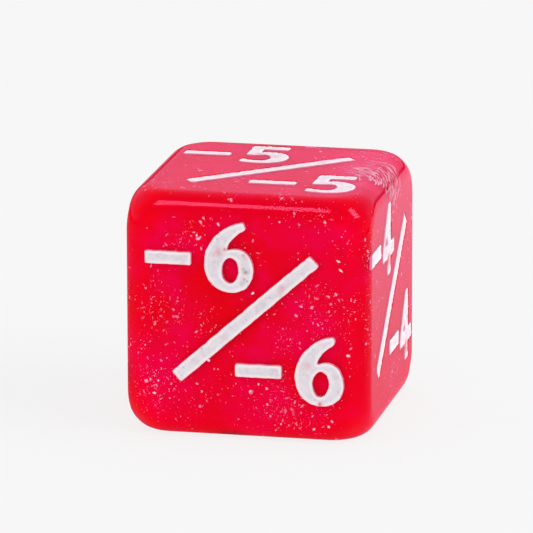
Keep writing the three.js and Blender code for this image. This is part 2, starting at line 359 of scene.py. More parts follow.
def signLines(face, sign):
    numeral = dieFaces[face][0]
    if sign.endswith("minus"):
        corners, scale = [barCorners(signs["minusSize"])], 1
    elif sign == "slash":
        corners, scale = [barCorners(signs["slashSize"])], 1
    else:
        corners, scale = numeralShapes[numeral], signs["numeralHeight"]
    turn = Matrix.Rotation(math.radians(signs["slashTurn"] if sign == "slash" else 0), 2)
    place = Vector(signs["places"][sign])
    # every sign has its own stretch of noise
    seed = 3.7 * list(dieFaces).index(face) + 0.9 * list(signs["places"]).index(sign)
    lines = []
    for line in corners:
        even = evenLine(traceLine(line, scale), signs["edgeStep"])
        bolder = signs["bolderSlash" if sign == "slash" else "bolder"].get(face, 0.0)
        fuller = growLine(softened(even), bolder, len(lines) > 0)
        lines.append([place + turn @ point for point in softened(softened(roughLine(fuller, seed)))])
    return lines


def insideLines(places, lines):
    x, y = places[:, 0], places[:, 1]
    inside = np.zeros(len(places), bool)
    for line in lines:
        a = np.array(line)
        b = np.roll(a, -1, axis=0)
        for (ax, ay), (bx, by) in zip(a, b):
            if ay != by:
                crosses = ((ay > y) != (by > y)) & (x < (bx - ax) * (y - ay) / (by - ay) + ax)
                inside ^= crosses
    return inside


def fillLines(lines, extra=()):
    points = [point for line in lines for point in line]
    edges, start = [], 0
    for line in lines:
        count = len(line)
        edges += [(start + i, start + (i + 1) % count) for i in range(count)]
        start += count
    points += [Vector(point) for point in extra]
    made = geometry.delaunay_2d_cdt(points, edges, [], 0, 1e-7)
    places, triangles = np.array([tuple(point) for point in made[0]]), made[2]
    middles = np.array([places[list(triangle)].mean(axis=0) for triangle in triangles])
    kept = insideLines(middles, lines)
    return places, [tuple(triangle) for triangle, keep in zip(triangles, kept) if keep]


def faceMatrix(face):
    tilt, turn = dieFaces[face][1:]
    return (Matrix.Translation((0, 0, half)) @ Matrix.Rotation(math.radians(turn), 4, "Z")
            @ Matrix.Rotation(math.radians(tilt), 4, "X"))


allLines = {(face, sign): signLines(face, sign) for face in dieFaces for sign in signs["places"]}
print("signs drawn:", len(allLines))


# the resin cube

resinCube = {
    "edgeRound": 1.35,
    "cornerBall": 12.356,
    "cornerBlend": 0.55,      # soft step from the edges to the worn corners
    "flatLines": (0.0, 1.9, 3.6, 4.8, 5.3, 5.65, 5.95, 6.2, 6.43),  # closer towards the edges
    "roundSteps": 11,
    "rimChamfer": 0.028,      # tiny flare round each pocket
    "rimStep": 0.006,
    "cutAbove": 0.5,
    "sharpFrom": 24,          # degrees
    "clearness": (2.0, 950.0, 420.0),  # red, green and blue light lost per metre
    "polish": 0.062,
    "dullness": 1.8,          # the most rubbed places against the polish
    "bending": 1.49,
    "sheen": (1, 0.16, 0.40, 1),
    "swirlTints": [(0.3, (1.0, 0.90, 0.93)), (0.7, (1.0, 0.97, 0.98))],
    "swirlScale": 260.0,
    "rubbedScale": 900.0,
    "rubbedSpan": (0.35, 0.75),
    "waveScale": 170.0,
    "fineScale": 2600.0,
    "fineShare": 0.006,
    "bump": (0.25, 0.00003),
}


def smoothMax(a, b, width):
    blend = np.clip(1 - np.abs(a - b) / width, 0, 1)
    return np.maximum(a, b) + blend * blend * width / 4


def distanceToCube(points):
    core = half - resinCube["edgeRound"]
    over = np.abs(points) - core
    outside = np.linalg.norm(np.maximum(over, 0), axis=1)
    inside = np.minimum(over.max(axis=1), 0)
    ball = np.linalg.norm(points, axis=1) - resinCube["cornerBall"]
    return smoothMax(outside + inside - resinCube["edgeRound"], ball, resinCube["cornerBlend"])


def wornCube():
    core = half - resinCube["edgeRound"]
    lines = [*resinCube["flatLines"], core]
    for i in range(1, resinCube["roundSteps"] + 1):
        lines.append(core + resinCube["edgeRound"] * math.tan(math.pi / 4 * i / resinCube["roundSteps"]))
    lines = [-line for line in reversed(lines[1:])] + lines
    count = len(lines)
    bm = bmesh.new()
    for face in dieFaces:
        turn = faceMatrix(face).to_3x3()
        sharp = np.array([turn @ Vector((x, y, half)) for y in lines for x in lines])
        low, high = np.full(len(sharp), 0.5), np.ones(len(sharp))  # halved until they meet at the surface
        for _ in range(30):
            middle = (low + high) / 2
            out = distanceToCube(sharp * middle[:, None]) > 0
            high, low = np.where(out, middle, high), np.where(out, low, middle)
        worn = sharp * high[:, None]
        verts = [bm.verts.new(point) for point in worn]
        for row in range(count - 1):
            for column in range(count - 1):
                i = row * count + column
                bm.faces.new((verts[i], verts[i + 1], verts[i + count + 1], verts[i + count]))
    bmesh.ops.remove_doubles(bm, verts=bm.verts, dist=1e-4)
    bmesh.ops.translate(bm, verts=bm.verts, vec=(0, 0, half))
    return bm


def pocketCutters():
    bm = bmesh.new()
    for (face, sign), lines in allLines.items():
        places, triangles = fillLines(lines)
        flared = [growLine(line, resinCube["rimChamfer"], i > 0) for i, line in enumerate(lines)]
        wide = [tuple(point) for line in flared for point in line]
        if len(wide) != len(places):  # an outline that crosses itself keeps plain walls
            wide = places
        turn = faceMatrix(face)
        rings = []
        for outline, level in ((places, -signs["pocketDepth"]),
                               (places, -resinCube["rimChamfer"] - resinCube["rimStep"]),
                               (wide, 0.0), (wide, resinCube["cutAbove"])):
            rings.append([turn @ Vector((x, y, half + level)) for x, y in outline])
        solidFromRings(bm, places, triangles, rings)
    return bm


# A closed solid through copies of a filled outline, one above the other.
def solidFromRings(bm, places, triangles, rings):
    rows = [[bm.verts.new(point) for point in ring] for ring in rings]
    rim = set()
    for a, b, c in triangles:
        if np.cross(places[b] - places[a], places[c] - places[a]) < 0:
            b, c = c, b
        bm.faces.new((rows[-1][a], rows[-1][b], rows[-1][c]))
        bm.faces.new((rows[0][c], rows[0][b], rows[0][a]))
        for start, end in ((a, b), (b, c), (c, a)):
            if (end, start) in rim:
                rim.remove((end, start))
            else:
                rim.add((start, end))
    for start, end in sorted(rim):
        for under, over in zip(rows, rows[1:]):
            bm.faces.new((under[start], under[end], over[end], over[start]))


def meshFrom(bm, name, smooth=True):
    bmesh.ops.scale(bm, verts=bm.verts, vec=(millimetre,) * 3)
    for face in bm.faces:
        face.smooth = smooth
    mesh = bpy.data.meshes.new(name)
    bm.to_mesh(mesh)
    bm.free()
    return mesh


def resinMaterial():
    settings = resinCube
    material, tree, shader, place = newMaterial("redResin")
    swirl = addNoise(tree, place, settings["swirlScale"], 4.0)
    tree.links.new(addRamp(tree, swirl, settings["swirlTints"]), shader.inputs["Base Color"])
    rubbed = addNoise(tree, place, settings["rubbedScale"], 5.0, 0.65)
    low, high = settings["polish"], settings["polish"] * settings["dullness"]
    start, end = settings["rubbedSpan"]
    dull = addRamp(tree, rubbed, [(start, greys(low)), (end, greys(high))])
    tree.links.new(dull, shader.inputs["Roughness"])
    waves = addNoise(tree, place, settings["waveScale"], 2.0)
    fine = addNoise(tree, place, settings["fineScale"], 3.0)
    addBump(tree, shader, *settings["bump"], addMath(
        tree, "ADD", waves, addMath(tree, "MULTIPLY", fine, settings["fineShare"])))
    shader.inputs["Transmission Weight"].default_value = 1
    shader.inputs["IOR"].default_value = settings["bending"]
    shader.inputs["Specular Tint"].default_value = settings["sheen"]
    lost = settings["clearness"]
    most = max(lost)
    kept = [1 - value / most for value in lost]
    absorb = addNode(tree, "VolumeAbsorption", Density=most, Color=(*kept, 1))
    output = next(node for node in tree.nodes if node.type == "OUTPUT_MATERIAL")
    tree.links.new(absorb.outputs[0], output.inputs["Volume"])
    return material


def makeResin():
    body = newPiece("resin_cube", meshFrom(wornCube(), "resin_cube"), resinMaterial())
    cutter = newPiece("pocket_cutters", meshFrom(pocketCutters(), "pocket_cutters"), body.data.materials[0])
    cut = body.modifiers.new("pockets", "BOOLEAN")
    cut.object, cut.operation, cut.solver = cutter, "DIFFERENCE", "MANIFOLD"
    bpy.context.view_layer.objects.active = body
    bpy.context.view_layer.update()
    mesh = bpy.data.meshes.new_from_object(body.evaluated_get(bpy.context.evaluated_depsgraph_get()))
    body.modifiers.clear()
    body.data = mesh
    mesh.name = "resin_cube"
    bpy.data.objects.remove(cutter)
    mesh.set_sharp_from_angle(angle=math.radians(resinCube["sharpFrom"]))
    weigh = body.modifiers.new("flatShading", "WEIGHTED_NORMAL")
    weigh.keep_sharp, weigh.weight = True, 80
    return body


resin = makeResin()
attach(resin, "root")
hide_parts("die_body")
print("resin cube cut:", len(resin.data.polygons), "faces")


# the paint in the pockets

paintFill = {
    "grain": 0.10,         # spacing of the points that carry the surface
    "rowStep": 0.87,       # rows lie this much of a grain apart
    "jitter": 0.02,
    "overlap": 0.012,      # the paint is keyed into the resin, so no air gap shows
    "groove": 0.045,       # the paint has shrunk a little from the wall
    "sunk": 0.024,
    "sag": 0.018,          # deeper away from the wall
    "sagWidth": 0.3,
    "highest": -0.008,
    "lump": 0.012,
    "lumpWaves": (2.2, 5.5),
    "fineLumps": 0.6,
    "pitDepth": 0.05,
    "pitWaves": 3.6,
    "pitStart": 0.34,      # higher for fewer pits
    "pitRamp": 0.3,
    "pitThinness": 0.12,
    "rimWidth": 0.17,      # the pale rim along the wall
    "thinWaves": 1.1,
    "thinStart": 0.45,
    "thinRamp": 2.2,
    "thinMost": 0.4,
    "wornDepth": 0.12,
    "sharpFrom": 50,
    # bare or thin places: across, up, reach and how bare
    "worn": {
        "front": [(-1.78, 4.33, 0.27, 0.42), (-1.32, 4.52, 0.10, 0.9),
                  (4.05, -2.85, 0.24, 0.35), (4.85, -5.38, 0.12, 1.0)],
        "right": [(-0.85, 2.55, 0.40, 1.0), (5.0, -4.72, 0.40, 1.0), (-2.0, 3.9, 0.5, 0.35)],
        "top": [(-0.9, 3.6, 0.4, 0.5), (4.9, -3.9, 0.3, 0.4)],
    },
    # brown marks in the paint, in the same order
    "stains": {"front": [(-0.10, 3.32, 0.09, 0.7), (0.02, 3.08, 0.11, 1.0), (-0.21, 2.33, 0.17, 0.3)]},
}

paintLook = {
    "chalk": [(0.3, (0.64, 0.60, 0.64)), (0.5, (0.75, 0.70, 0.745)), (0.72, (0.84, 0.77, 0.815))],
    "chalkScale": 1500.0,
    "rim": (1.0, 0.90, 0.945),
    "rimStrength": 0.85,
    "stain": (0.30, 0.21, 0.16),
    "dirt": (0.36, 0.27, 0.27),
    "dirtStrength": 0.42,
    "dirtSize": 0.22,
    "dirtScale": 2100.0,
    "dirtPatches": (1100.0, 0.60),   # scale, and how far the noise has to rise
    "thin": (0.80, 0.06, 0.14),
    "roughness": 0.62,
    "gloss": 0.35,
    "bumpScale": 2200.0,
    "bump": (0.55, 0.00003),
}


def paintMaterial():
    look = paintLook
    material, tree, shader, place = newMaterial("whitePaint")
    cloud = addNoise(tree, place, look["chalkScale"], 5.0, 0.6)
    chalk = addRamp(tree, cloud, look["chalk"])
    rim = addMath(tree, "MULTIPLY", addWritten(tree, "rim"), look["rimStrength"])
    colour = addMix(tree, rim, chalk, look["rim"])
    colour = addMix(tree, addWritten(tree, "stain"), colour, look["stain"])
    grit = addNode(tree, "TexVoronoi", Vector=place, Scale=look["dirtScale"]).outputs["Distance"]
    patchScale, patchStart = look["dirtPatches"]
    patches = addMath(tree, "GREATER_THAN", addNoise(tree, place, patchScale, 2.0), patchStart)
    speck = addMath(tree, "MULTIPLY", addMath(tree, "LESS_THAN", grit, look["dirtSize"]), patches)
    colour = addMix(tree, addMath(tree, "MULTIPLY", speck, look["dirtStrength"]), colour, look["dirt"])
    colour = addMix(tree, addWritten(tree, "thin"), colour, look["thin"])
    tree.links.new(colour, shader.inputs["Base Color"])
    shader.inputs["Roughness"].default_value = look["roughness"]
    shader.inputs["Specular IOR Level"].default_value = look["gloss"]
    addBump(tree, shader, *look["bump"], addNoise(tree, place, look["bumpScale"], 5.0, 0.6))
    return material


def gapsTo(edge, points):
    return np.sqrt(((points[:, None, :] - edge[None, :, :]) ** 2).sum(axis=2)).min(axis=1)


# Points inside a fill, so that its surface can be uneven.
def paintGrain(lines, edge, maker):
    low, high = edge.min(axis=0), edge.max(axis=0)
    grain, jitter = paintFill["grain"], paintFill["jitter"]
    points, row = [], 0
    y = low[1]
    while y < high[1]:
        x = low[0] + (row % 2) * grain / 2
        while x < high[0]:
            points.append((x + maker.uniform(-jitter, jitter), y + maker.uniform(-jitter, jitter)))
            x += grain
        y += grain * paintFill["rowStep"]
        row += 1
    points = np.array(points)
    points = points[insideLines(points, lines)]
    return points[gapsTo(edge, points) > grain * 0.5]


# Height of the paint at a place, and how much of rim, worn-through and stained paint shows there.
def paintAt(face, x, y, gap, seed):
    settings = paintFill
    coarse, fine = (noiseAt(x, y, waves, seed) for waves in settings["lumpWaves"])
    lump = coarse + settings["fineLumps"] * fine
    pitted = noiseAt(x, y, settings["pitWaves"], seed + 31)
    pit = min(max(0.0, pitted - settings["pitStart"]) / settings["pitRamp"], 1)
    sag = min(gap / settings["sagWidth"], 1.0)
    bare = spotsAt(settings["worn"].get(face, []), x, y)
    level = -settings["sunk"] - settings["sag"] * sag
    level = level + settings["lump"] * lump * sag - settings["pitDepth"] * pit * sag
    level -= settings["wornDepth"] * bare
    if gap < 1e-5:
        level = -settings["sunk"] - settings["groove"]
    rim = min(max(0.0, 1.5 - gap / settings["rimWidth"]), 1.0)
    patch = noiseAt(x, y, settings["thinWaves"], seed + 77)
    spot = max(0.0, patch - settings["thinStart"]) * settings["thinRamp"]
    thin = min(spot * settings["thinMost"] + pit * settings["pitThinness"] + bare, 1.0)
    stain = spotsAt(settings["stains"].get(face, []), x, y)
    return min(level, settings["highest"]), {"rim": rim, "thin": thin, "stain": stain}


def paintPiece(face, sign, material):
    overlap = paintFill["overlap"]
    lines = [growLine(line, overlap, i > 0) for i, line in enumerate(allLines[(face, sign)])]
    edge = np.array([tuple(point) for line in lines for point in line])
    maker = random.Random(f"paint {face} {sign}")
    places, triangles = fillLines(lines, paintGrain(lines, edge, maker))
    seed = maker.uniform(0, 50)
    surfaces = [paintAt(face, x, y, gap, seed) for (x, y), gap in zip(places, gapsTo(edge, places))]
    turn = faceMatrix(face)
    bottom = [turn @ Vector((x, y, half - signs["pocketDepth"] - overlap)) for x, y in places]
    top = [turn @ Vector((x, y, half + level)) for (x, y), (level, _) in zip(places, surfaces)]
    bm = bmesh.new()
    solidFromRings(bm, places, triangles, [bottom, top])
    for name in ("rim", "thin", "stain"):
        layer = bm.verts.layers.float.new(name)
        for vert, (_, shown) in zip(bm.verts, surfaces * 2):
            vert[layer] = shown[name]
    for vert in [vert for vert in bm.verts if not vert.link_faces]:
        bm.verts.remove(vert)
    nodeName = f"{face}_{sign.replace('numeral', dieFaces[face][0])}"
    mesh = meshFrom(bm, "paint_" + nodeName)
    mesh.set_sharp_from_angle(angle=math.radians(paintFill["sharpFrom"]))
    piece = newPiece("paint_" + nodeName, mesh, material)
    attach(piece, "root")
    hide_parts(nodeName)
    return piece


paint = paintMaterial()
paintPieces = [paintPiece(face, sign, paint) for face in dieFaces for sign in signs["places"]]
print("paint fills:", len(paintPieces))


glitter = {
    "seed": 41,
    "chips": {"count": 760, "size": (0.08, 0.24), "deepest": 0.42},
    "flakes": {"count": 1700, "size": (0.04, 0.11), "deepest": 0.5},
    "dust": {"count": 6800, "size": (0.014, 0.042), "deepest": 0.5},
    "slimmest": 0.45,       # width of the longest flakes against their length
    "thickness": 0.012,
    "clearance": 0.03,      # kept between a flake and the resin's surface
    "spread": 7.7,          # how far from the middle of a face they reach
    "shallowest": 0.05,
    "depthPower": 1.2,      # higher for more of them near the surface
    "sparse": 0.07,         # the share kept where none have gathered
    "cloudWaves": (0.5, 1.3),
    "fineClouds": 0.6,
    "cloudShare": 0.35,
    "gatheredShare": 0.8,
    "sizeShares": (0.6, 0.4),  # of the drawn size, what is sure and what varies
    "cornerTurn": 0.2,
    "cornerReach": (0.7, 1.0),
    "flatDepth": 0.13,
    "flatClearance": 0.04,
    "flatLean": (9, -6),
    "tints": [(0.38, (0.96, 0.26, 0.50)), (0.48, (0.98, 0.78, 0.86)), (0.56, (1.0, 0.98, 0.98))],
    "tintScale": 2400.0,
    "roughness": 0.38,
    "bumpScale": 9000.0,
    "bump": (0.2, 0.00001),
}


def glitterMaterial():
    material, tree, shader, place = newMaterial("pearlGlitter")
    shift = addNoise(tree, place, glitter["tintScale"], 2.0)
    tree.links.new(addRamp(tree, shift, glitter["tints"]), shader.inputs["Base Color"])
    shader.inputs["Roughness"].default_value = glitter["roughness"]
    addBump(tree, shader, *glitter["bump"], addNoise(tree, place, glitter["bumpScale"], 2.0))
    return material


# Where the glitter has gathered: across, up and reach on a face, in millimetres.
gathered = {
    "front": [(-3.8, 5.2, 1.0), (-5.9, 0.8, 1.5), (5.0, 0.7, 1.7), (2.7, -1.0, 1.0), (2.6, -6.0, 2.4),
              (-5.6, -4.8, 1.8), (7.3, 1.2, 0.9), (4.9, 7.4, 0.7), (-2.6, -0.4, 0.9)],
    "right": [(-6.9, 4.6, 1.4), (-6.6, -0.5, 1.2), (-5.0, 0.8, 1.6), (0.5, -5.6, 2.2), (5.8, 2.2, 1.6)],
    "top": [(6.6, 1.2, 2.7), (5.6, 5.0, 1.8), (4.6, -2.6, 1.2), (-6.0, -4.5, 1.6), (2.0, -6.9, 1.0),
            (-2.0, -2.6, 1.5), (6.8, 5.6, 1.4)],
    "back": [(-5.5, -2.0, 2.0), (4.6, 1.0, 1.6), (1.6, -5.6, 1.8), (-1.0, 6.6, 1.3)],
    "left": [(5.2, 1.4, 1.8), (-5.6, -3.4, 2.0), (-0.8, -6.2, 1.5), (3.4, 6.4, 1.1)],
    "bottom": [(-5.0, -1.2, 1.8), (5.2, 2.0, 2.0), (0.8, -5.8, 1.5)],
}


def gathering(face, x, y):
    near = 0.0
    for across, up, reach in gathered[face]:
        near = max(near, math.exp(-((x - across) ** 2 + (y - up) ** 2) / reach ** 2))
    return near


# How far a point inside the resin is from its surface; nothing for a point in a pocket or outside.
def depthInResin(point, surface):
    nearest, normal, _, gap = surface.find_nearest(point * millimetre)
    if (point * millimetre - nearest).dot(normal) > 0:
        return 0.0
    return gap / millimetre


def flakePlaces(maker, group, surface):
    spread, (broad, fine), (sure, varied) = glitter["spread"], glitter["cloudWaves"], glitter["sizeShares"]
    places = []
    while len(places) < group["count"]:
        face = maker.choice(list(dieFaces))
        x, y = maker.uniform(-spread, spread), maker.uniform(-spread, spread)
        depth = glitter["shallowest"] + maker.random() ** glitter["depthPower"] * group["deepest"]
        point = faceMatrix(face) @ Vector((x, y, half - depth))
        shifted = point * fine + Vector((5, 1, 2))
        cloud = noise.noise(point * broad) + glitter["fineClouds"] * noise.noise(shifted)
        chance = glitter["sparse"] + glitter["cloudShare"] * cloud
        chance += glitter["gatheredShare"] * gathering(face, x, y)
        if maker.random() > chance:
            continue
        size = maker.uniform(*group["size"]) * (sure + varied * maker.random())
        room = size + glitter["clearance"]
        skin = -distanceToCube(np.array([point - Vector((0, 0, half))]))[0]
        if skin > room and depthInResin(point, surface) > room:
            places.append((point, size))
    return places


# Large flakes that lie flat under a face: across, up, half length, slimness and turn.
largeFlakes = {
    "front": [(6.05, 4.12, 0.19, 0.55, -30), (6.22, 3.52, 0.20, 0.50, -38), (6.70, -2.05, 0.17, 0.70, 20),
              (0.31, -4.75, 0.17, 0.60, 70), (-6.0, -5.2, 0.17, 0.75, 10), (4.35, 1.0, 0.16, 0.70, 50),
              (5.9, 1.95, 0.16, 0.65, 95), (-3.05, 5.15, 0.20, 0.65, 15), (-3.15, 5.35, 0.15, 0.5, 80),
              (-1.75, 6.15, 0.17, 0.55, -55), (-2.7, 6.5, 0.14, 0.55, -50), (-3.2, -1.0, 0.14, 0.6, 25),
              (1.4, -4.5, 0.14, 0.7, -20), (-2.4, -2.85, 0.14, 0.8, 0), (0.5, 1.75, 0.15, 0.7, 40)],
    "right": [(-5.6, -2.6, 0.2, 0.7, 60), (3.2, 0.6, 0.18, 0.6, 15)],
    "top": [(-4.4, -1.2, 0.2, 0.6, 30), (2.1, 5.6, 0.18, 0.7, 80)],
    "back": [(-3.1, 1.9, 0.2, 0.6, -20), (5.6, -4.1, 0.18, 0.6, 40)],
    "left": [(2.6, -4.9, 0.2, 0.7, 70), (-4.9, 5.7, 0.17, 0.6, 5)],
    "bottom": [(-1.9, 4.8, 0.2, 0.6, 35)],
}


def flatFlakes(surface):
    chosen = []
    for face, places in largeFlakes.items():
        for across, up, size, slim, turn in places:
            matrix = faceMatrix(face)
            point = matrix @ Vector((across, up, half - glitter["flatDepth"]))
            if depthInResin(point, surface) > glitter["flatClearance"]:
                lean = Euler([math.radians(angle) for angle in (*glitter["flatLean"], turn)]).to_matrix()
                chosen.append((point, size, slim, matrix.to_3x3() @ lean))
    return chosen


def glitterPiece(name, group, material, surface, corners, laid=()):
    maker = random.Random(f"{name} {glitter['seed']}")
    bm = bmesh.new()
    flakes = list(laid)
    for point, size in flakePlaces(maker, group, surface):
        turn = Euler([maker.uniform(0, math.tau) for _ in range(3)]).to_matrix()
        flakes.append((point, size, maker.uniform(glitter["slimmest"], 1.0), turn))
    for point, size, slim, turn in flakes:
        count = maker.choice(corners)
        ring = []
        for i in range(count):
            angle = math.tau * (i + maker.uniform(-glitter["cornerTurn"], glitter["cornerTurn"])) / count
            reach = size * maker.uniform(*glitter["cornerReach"])
            ring.append(Vector((math.cos(angle) * reach, math.sin(angle) * reach * slim, 0)))
        thick = Vector((0, 0, min(glitter["thickness"], size * 0.5) / 2))
        upper = [bm.verts.new(point + turn @ (corner + thick)) for corner in ring]
        lower = [bm.verts.new(point + turn @ (corner - thick)) for corner in ring]
        bm.faces.new(upper)
        bm.faces.new(list(reversed(lower)))
        for i in range(count):
            bm.faces.new((lower[i], lower[(i + 1) % count], upper[(i + 1) % count], upper[i]))
    piece = newPiece(name, meshFrom(bm, name, smooth=False), material)
    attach(piece, "root")
    return piece


# the cloudy heart, where the colour is too dense to see through

cloudyHeart = {
    "depth": 0.62,        # below the faces
    "unevenness": 0.06,
    "waves": 0.4,
    "clouds": [(0.38, (0.76, 0.0, 0.010)), (0.50, (0.78, 0.0, 0.032)), (0.62, (0.80, 0.0, 0.10))],
    "cloudScale": 300.0,
    # painted shade: the edges are made deeper in colour: where that starts and its width, as shares of the
    # half width
    "edge": (0.80, 0.14),
    "edgeShadeTint": (0.65, 0.0, 0.025),
    "edgeShadeShares": (0.42, 0.58),   # of that, what is everywhere and what comes in towards the top
    "edgeShadeTop": (0.7, 0.2),
    # rosier places on the front: across, up, reach and strength
    "rosy": [(-5.6, -4.2, 2.8, 0.55), (4.8, 3.8, 2.6, 0.3), (4.6, -0.6, 2.2, 0.4), (0.8, -6.4, 2.2, 0.45)],
    "rosyTint": (0.82, 0.0, 0.16),
    "rosyDeep": 0.9,
    "haze": (6.1, 2.4, 1.3),   # the paler patch along the top's right-hand edge: across, reach, depth
    "hazeBack": (-5.5, 4.0),   # where it starts from the front, and over how far
    "hazeTint": (0.90, 0.30, 0.42),
    "streaks": [(0.3, greys(0.35)), (0.65, greys(1.0))],
    "streakScale": 520.0,
    "bumpScale": 700.0,
    "bump": (0.3, 0.0001),
}


def heartMaterial():
    look = cloudyHeart
    material, tree, shader, place = newMaterial("cloudyRed")
    colour = addRamp(tree, addNoise(tree, place, look["cloudScale"], 4.0, 0.6), look["clouds"])
    colour = addMix(tree, addWritten(tree, "rosy"), colour, look["rosyTint"])
    # painted shade: darker red along the edges, more of it towards the top
    colour = addMix(tree, addWritten(tree, "edge"), colour, look["edgeShadeTint"])
    streaks = addRamp(tree, addNoise(tree, place, look["streakScale"], 4.0, 0.6), look["streaks"])
    haze = addMath(tree, "MULTIPLY", addWritten(tree, "haze"), streaks)
    colour = addMix(tree, haze, colour, look["hazeTint"])
    tree.links.new(colour, shader.inputs["Base Color"])
    shader.inputs["Roughness"].default_value = 1.0
    shader.inputs["Specular IOR Level"].default_value = 0.0
    addBump(tree, shader, *look["bump"], addNoise(tree, place, look["bumpScale"], 4.0))
    return material


def makeHeart():
    settings = cloudyHeart
    bm = wornCube()
    scale = (half - settings["depth"]) / half
    middle = Vector((0, 0, half))
    for name in ("edge", "haze", "rosy"):
        bm.verts.layers.float.new(name)
    edgeShadeLayer, hazeLayer, rosyLayer = (bm.verts.layers.float[name] for name in ("edge", "haze", "rosy"))
    across, reach, deep = settings["haze"]
    everywhere, above = settings["edgeShadeShares"]
    for vert in bm.verts:
        inner = (vert.co - middle) * scale
        second = sorted(abs(value) for value in inner)[1] / (half * scale)
        upper = everywhere + above * riseFrom(*settings["edgeShadeTop"], inner.z / (half * scale))
        # painted shade along the edges, stronger towards the top
        vert[edgeShadeLayer] = riseFrom(*settings["edge"], second) * upper
        onFront = inner.y < settings["rosyDeep"] - half * scale
        vert[rosyLayer] = spotsAt(settings["rosy"], inner.x, inner.z) if onFront else 0.0
        nearEdge = math.exp(-((inner.x - across) / reach) ** 2 - ((inner.z - half) / deep) ** 2)
        vert[hazeLayer] = nearEdge * riseFrom(*settings["hazeBack"], inner.y)
        wave = noise.noise(inner * settings["waves"] + Vector((3, 8, 1)))
        vert.co = middle + inner * (1 + settings["unevenness"] / half * wave)
    piece = newPiece("cloudy_heart", meshFrom(bm, "cloudy_heart"), heartMaterial())
    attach(piece, "root")


makeHeart()
print("cloudy heart set")


# the glitter cast into the clear skin

surface = BVHTree.FromObject(resin, bpy.context.evaluated_depsgraph_get())
pearl = glitterMaterial()
glitterPieces = [
    glitterPiece("glitter_chips", glitter["chips"], pearl, surface, (4, 5, 6), flatFlakes(surface)),
    glitterPiece("glitter_flakes", glitter["flakes"], pearl, surface, (5, 6)),
    glitterPiece("glitter_dust", glitter["dust"], pearl, surface, (3, 4)),
]
print("glitter faces:", [len(piece.data.polygons) for piece in glitterPieces])


# scuffs that curl from the top over its right-hand edge, just under the polish
curledScuffs = {
    "count": 190,
    "middle": (4.5, -1.7),      # across from the top's middle line, and back
    "wander": 0.45,
    "reach": (2.2, 6.0),
    "sweep": (4, 74),
    "band": 0.55,               # they lie in bands, a little unevenly
    "bandJitter": 0.18,
    "length": (0.4, 1.05),
    "width": (0.02, 0.065),
    "depth": (0.03, 0.10),
    "rows": 9,
    "taper": 0.85,
    "thickness": 0.010,
    "belowSurface": 0.02,       # kept between a scuff and the outside
    "clearance": 0.015,         # and between a scuff and a pocket
    "tints": [(0.35, (0.95, 0.50, 0.66)), (0.5, (0.98, 0.76, 0.85)), (0.65, (1.0, 0.92, 0.96))],
    "tintScale": 900.0,
    "roughness": 0.6,
    "bumpScale": 5000.0,
    "bump": (0.3, 0.00001),
}


def scuffMaterial():
    look = curledScuffs
    material, tree, shader, place = newMaterial("rubbedResin")
    shift = addNoise(tree, place, look["tintScale"], 3.0)
    tree.links.new(addRamp(tree, shift, look["tints"]), shader.inputs["Base Color"])
    shader.inputs["Roughness"].default_value = look["roughness"]
    addBump(tree, shader, *look["bump"], addNoise(tree, place, look["bumpScale"], 3.0))
    return material


# A point across the top, carried on round the edge and down the right face.
def overTheEdge(across, back, depth):
    core, rounding = half - resinCube["edgeRound"], resinCube["edgeRound"]
    angle = min(max(across - core, 0.0) / rounding, math.pi / 2)
    down = max(across - core - rounding * math.pi / 2, 0.0)
    reach = rounding - depth
    x = min(across, core) + reach * math.sin(angle)
    z = half + core + reach * math.cos(angle) - down
    return Vector((x, back, z))


def scuffPiece(material):
    settings, thick = curledScuffs, curledScuffs["thickness"]
    maker = random.Random("scuffs")
    bm = bmesh.new()
    for _ in range(settings["count"]):
        reach = maker.uniform(*settings["reach"])
        reach = round(reach / settings["band"]) * settings["band"]
        reach += maker.uniform(-settings["bandJitter"], settings["bandJitter"])
        middle = [value + maker.uniform(-1, 1) * settings["wander"] for value in settings["middle"]]
        start = math.radians(maker.uniform(*settings["sweep"]))
        length, width = maker.uniform(*settings["length"]), maker.uniform(*settings["width"])
        depth = maker.uniform(*settings["depth"])
        rows = []
        for i in range(settings["rows"]):
            along = i / (settings["rows"] - 1)
            angle = start + length / reach * (along - 0.5)
            wide = width * (1 - abs(2 * along - 1) ** 2 * settings["taper"])
            row = []
            for side, level in ((-1, 0.0), (0, thick), (1, 0.0), (0, -thick)):
                far = reach + side * wide
                across, back = middle[0] + math.cos(angle) * far, middle[1] + math.sin(angle) * far
                row.append(overTheEdge(across, back, depth - level))
            rows.append(row)
        flat = [point - Vector((0, 0, half)) for row in rows for point in row]
        if distanceToCube(np.array(flat)).max() > -settings["belowSurface"]:
            continue
        if min(depthInResin(point, surface) for row in rows for point in row) < settings["clearance"]:
            continue
        rings = [[bm.verts.new(point) for point in row] for row in rows]
        for before, after in zip(rings, rings[1:]):
            for i in range(4):
                bm.faces.new((before[i], before[(i + 1) % 4], after[(i + 1) % 4], after[i]))
        bm.faces.new(list(reversed(rings[0])))
        bm.faces.new(rings[-1])
    bmesh.ops.recalc_face_normals(bm, faces=bm.faces)
    piece = newPiece("curled_scuffs", meshFrom(bm, "curled_scuffs"), material)
    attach(piece, "root")
    return piece


scuffs = scuffPiece(scuffMaterial())
print("scuffs:", len(scuffs.data.polygons), "faces")


# floor and light

